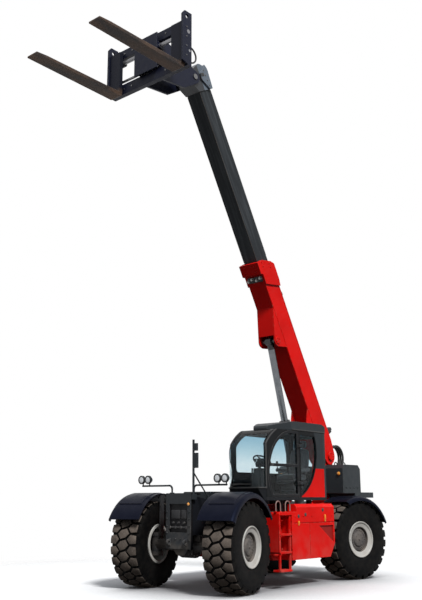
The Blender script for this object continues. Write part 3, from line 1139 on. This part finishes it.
HOSE_R, HOSE_Y, HOSE_BACK, HOSE_TALL = 0.018, 1.000, 0.190, 0.170
hose_mid = Vector((BACK_X - 0.050, HOSE_Y, carriage_low.z + 0.330))
to_port = Vector((0.054, 0, 0))
loop = []
for k in range(13):
    turn = math.pi * k / 12
    loop.append(hose_mid + Vector((-HOSE_BACK * math.sin(turn), 0, HOSE_TALL * math.cos(turn))))
ports = (loop[0] + to_port, loop[-1] + to_port)
bm = bmesh.new()
add_tube(bm, [ports[0]] + loop + [ports[1]], HOSE_R, 12)
for port in ports:
    add_disc(bm, port, BEHIND, 0.028, 0.050, 6)
piece("carriage_hoses", bm, "carriage", black_rubber, slot="hose")

# Forks: forged steel arms with a long taper, rusty brown with black shanks and rubbed pale at their edges.
# Each one hangs by its eye on the carriage's rod.
forged_steel, tree = new_material("forged_steel")
edges = worn_edges(tree, 0.008, 0.35)
rusty = grain(tree, 5.0, 0.35, 0.70, 8.0, (0.4, 1, 1))
shade = over(tree, rusty, (0.026, 0.021, 0.020), (0.105, 0.062, 0.040))
scale_marks = grain(tree, 34.0, 0.55, 0.75, 8.0)
shade = over(tree, times(tree, scale_marks, 0.6), shade, (0.16, 0.12, 0.10))
shade = over(tree, times(tree, edges, 0.6), shade, (0.24, 0.20, 0.17))
fork_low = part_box("fork_left")[0]
shank = along(tree, UP, fork_low.z + 0.10, fork_low.z + 0.20)
feed(tree, over(tree, shank, shade, (0.005, 0.006, 0.013)))
settings(tree, {"Metallic": 0.25, "Roughness": 0.58, "Specular IOR Level": 0.2})
dress(forged_steel, "fork_left", "fork_right")

# Lift cylinder: a black barrel with a screwed gland, and a hard-chromed rod that pushes the boom up.
# A steel feed pipe runs along the barrel from a port block at its foot, held by three straps.
barrel_paint = enamel("barrel_paint", (0.032, 0.034, 0.038), (0.14, 0.14, 0.14), 0.35, 0.4, 1.9, coat=0.2)
dress(barrel_paint, "lift_barrel")
hard_chrome, tree = new_material("hard_chrome")
smear = grain(tree, 10.0, 0.35, 0.75, 6.0)
chrome = over(tree, smear, (0.17, 0.18, 0.195), (0.13, 0.14, 0.15))
foot_pin = Vector(joints["lift_swing"]["pos_m"])
push = Vector(joints["lift_stroke"]["axis"])
rod_top = (BOOM @ Vector((EYE_S, 0, -EYE_N))).dot(push)
eye = along(tree, push, rod_top - 0.190, rod_top - 0.186)
feed(tree, over(tree, eye, chrome, (0.012, 0.012, 0.013)))
feed(tree, spread(tree, eye, 1.0, 0.0), "Metallic")
feed(tree, spread(tree, smear, -1.7, 5.5), "Roughness")
dress(hard_chrome, "lift_rod")
LIFT = Matrix.Translation(foot_pin) @ lying_along(push)
BARREL_LEN, BARREL_R, GLAND_BOLT_R, GLAND_BOLTS = 1.960, 0.110, 0.101, 10
pipe_course = ((0.34, 0.024), (0.50, 0.024), (1.70, 0.024), (1.86, 0.022), (1.90, 0.004))
bm = bmesh.new()
add_bolts(bm, ring((BARREL_LEN, 0, 0), GLAND_BOLT_R, GLAND_BOLTS, (1, 2)), AHEAD, 0.010)
for s in (0.55, 1.15, 1.70):
    strap = ring((s, 0, 0), BARREL_R + 0.002, 40, (1, 2))
    add_tube(bm, strap + strap[:1], 0.008, 8)
add_box(bm, (0.22, -0.05, BARREL_R - 0.012), (0.36, 0.05, BARREL_R + 0.050), 0.008)
add_tube(bm, [(s, 0, BARREL_R + rise) for s, rise in pipe_course], 0.013, 12)
bmesh.ops.transform(bm, matrix=LIFT, verts=bm.verts[:])
piece("lift_pipes", bm, "lift_barrel", bolt_steel, slot="steel")

# Boom hoses: three ribbed hydraulic hoses that leave the tower's port plate and loop to the boom's back.
# They bend as the boom swings, and a steel fitting holds each one to the plate.
hose_low, hose_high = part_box("hose_loop")
HOSE_LOOP_R, HOSE_BORE = 0.280, 0.026
HOSES, HOSE_PITCH, LOOP_STEPS, LOOP_STEP = 3, 0.060, 29, 7.5
BEND_STEPS, BEND_PULL, RIB_WIDE = 8, 0.45, 0.012
loop_middle = Vector((hose_low.x + HOSE_LOOP_R + HOSE_BORE, 0, hose_low.z + HOSE_LOOP_R + HOSE_BORE + 0.003))
boom_end = BOOM @ Vector((0.62, 0, BACK + 0.075))
for i in range(HOSES):
    y = 0.030 + HOSE_PITCH * i
    route = [Vector((hose_high.x - 0.002, y, loop_middle.z - HOSE_LOOP_R)),
             Vector((hose_high.x - 0.060, y, loop_middle.z - HOSE_LOOP_R))]
    for k in range(LOOP_STEPS):
        turn = math.radians(270 - LOOP_STEP * k)
        route.append(loop_middle + Vector((HOSE_LOOP_R * math.cos(turn), y, HOSE_LOOP_R * math.sin(turn))))
    last = route[-1]
    heading = (route[-1] - route[-2]).normalized()
    goal = Vector((boom_end.x, y * 0.5, boom_end.z))
    arrive = (BOOM.to_3x3() @ Vector((1, 0, 0.1))).normalized()
    pull = (goal - last).length * BEND_PULL
    a, b = last + heading * pull, goal - arrive * pull
    for k in range(1, BEND_STEPS + 1):
        t = k / BEND_STEPS
        route.append(last * (1 - t) ** 3 + a * 3 * t * (1 - t) ** 2 + b * 3 * t * t * (1 - t) + goal * t ** 3)
    bm = bmesh.new()
    add_tube(bm, route, HOSE_BORE - 0.004, 14)
    for first, second in zip(route[2:], route[3:]):
        ahead = (second - first).normalized()
        for share in (0.25, 0.75):
            spot = first.lerp(second, share) - ahead * RIB_WIDE / 2
            add_disc(bm, spot, ahead, HOSE_BORE, RIB_WIDE, 14)
    add_disc(bm, route[0], BEHIND, HOSE_BORE + 0.006, 0.055, 6, material=1)
    hose = piece("boom_hose_" + str(i + 1), bm, None, black_rubber, bolt_steel, slot="hose")
    if i == 0:
        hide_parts("hose_loop")
    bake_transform(hose)

# Camera, floor and light: the view of the photograph from the front left, low and looking up.
# The floor fades into a white surround and is darker close under the machine.
# A soft sun stands on the machine's left, under an even sky.
EYE = Vector((front_x + 11.994, 10.909, 1.652))
YAW, PITCH_UP, ROLL = math.radians(220.81), math.radians(13.76), math.radians(-0.19)
FOCAL_PX, LONG_PX, SENSOR_MM = 816.5, 600, 36.0
look = Vector((math.cos(YAW) * math.cos(PITCH_UP), math.sin(YAW) * math.cos(PITCH_UP), math.sin(PITCH_UP)))
lens = bpy.data.cameras.new("camera")
lens.sensor_width = SENSOR_MM
lens.lens = FOCAL_PX / LONG_PX * SENSOR_MM
camera = bpy.data.objects.new("camera", lens)
aim = look.to_track_quat("-Z", "Y").to_matrix().to_4x4()
camera.matrix_world = Matrix.Translation(EYE) @ aim @ Matrix.Rotation(ROLL, 4, "Z")
bpy.context.scene.collection.objects.link(camera)
bpy.context.scene.camera = camera

floor_white, tree = new_material("floor_white")
settings(tree, {"Roughness": 0.9})
cloudy = grain(tree, 0.8, 0.3, 0.7)
shade = over(tree, cloudy, (0.90, 0.90, 0.90), (0.88, 0.88, 0.88))
closeness = tree.nodes.new("ShaderNodeAmbientOcclusion")
closeness.samples = 8
closeness.inputs["Distance"].default_value = 3.0
covered = spread(tree, closeness.outputs["AO"], 0.90, 0.35)
feed(tree, over(tree, covered, shade, (0.22, 0.22, 0.23)))
place = tree.nodes.new("ShaderNodeTexCoord")
away = tree.nodes.new("ShaderNodeVectorMath")
away.operation = "LENGTH"
tree.links.new(place.outputs["Object"], away.inputs[0])
FLOOR_R, FADE_FROM, FADE_END = 10.0, 4.5, 9.5
feed(tree, spread(tree, away.outputs["Value"], FADE_END, FADE_FROM), "Alpha")
mesh = bpy.data.meshes.new("floor")
bm = bmesh.new()
bmesh.ops.create_circle(bm, cap_ends=True, segments=128, radius=FLOOR_R)
bm.to_mesh(mesh)
bm.free()
mesh.materials.append(floor_white)
floor = bpy.data.objects.new("floor", mesh)
bpy.context.scene.collection.objects.link(floor)
floor.visible_diffuse = False

SUN_FROM = (0.28, 0.62, 0.72)
sun = bpy.data.lights.new("sun", "SUN")
sun.energy = 3.8
sun.angle = math.radians(12)
sun_object = bpy.data.objects.new("sun", sun)
sun_object.matrix_world = facing(SUN_FROM)
bpy.context.scene.collection.objects.link(sun_object)

world = bpy.data.worlds.new("surround")
bpy.context.scene.world = world
world.use_nodes = True
tree = world.node_tree
sky = tree.nodes["Background"]
sky.inputs["Strength"].default_value = 0.44
place = tree.nodes.new("ShaderNodeTexCoord")
split = tree.nodes.new("ShaderNodeSeparateXYZ")
tree.links.new(place.outputs["Generated"], split.inputs["Vector"])
upwards = spread(tree, split.outputs["Z"], -0.10, 0.30)
tree.links.new(over(tree, upwards, (0.10, 0.095, 0.09), (0.88, 0.93, 1.0)), sky.inputs["Color"])
white = tree.nodes.new("ShaderNodeBackground")
white.inputs["Color"].default_value = (1.0, 1.0, 1.0, 1.0)
white.inputs["Strength"].default_value = 1.0
rays = tree.nodes.new("ShaderNodeLightPath")
seen = times(tree, rays.outputs["Is Camera Ray"], rays.outputs["Is Glossy Ray"], "MAXIMUM")
seen = times(tree, seen, rays.outputs["Is Transmission Ray"], "MAXIMUM")
choose = tree.nodes.new("ShaderNodeMixShader")
tree.links.new(seen, choose.inputs["Fac"])
tree.links.new(sky.outputs["Background"], choose.inputs[1])
tree.links.new(white.outputs["Background"], choose.inputs[2])
tree.links.new(choose.outputs["Shader"], tree.nodes["World Output"].inputs["Surface"])
bpy.context.scene.view_settings.view_transform = "Standard"
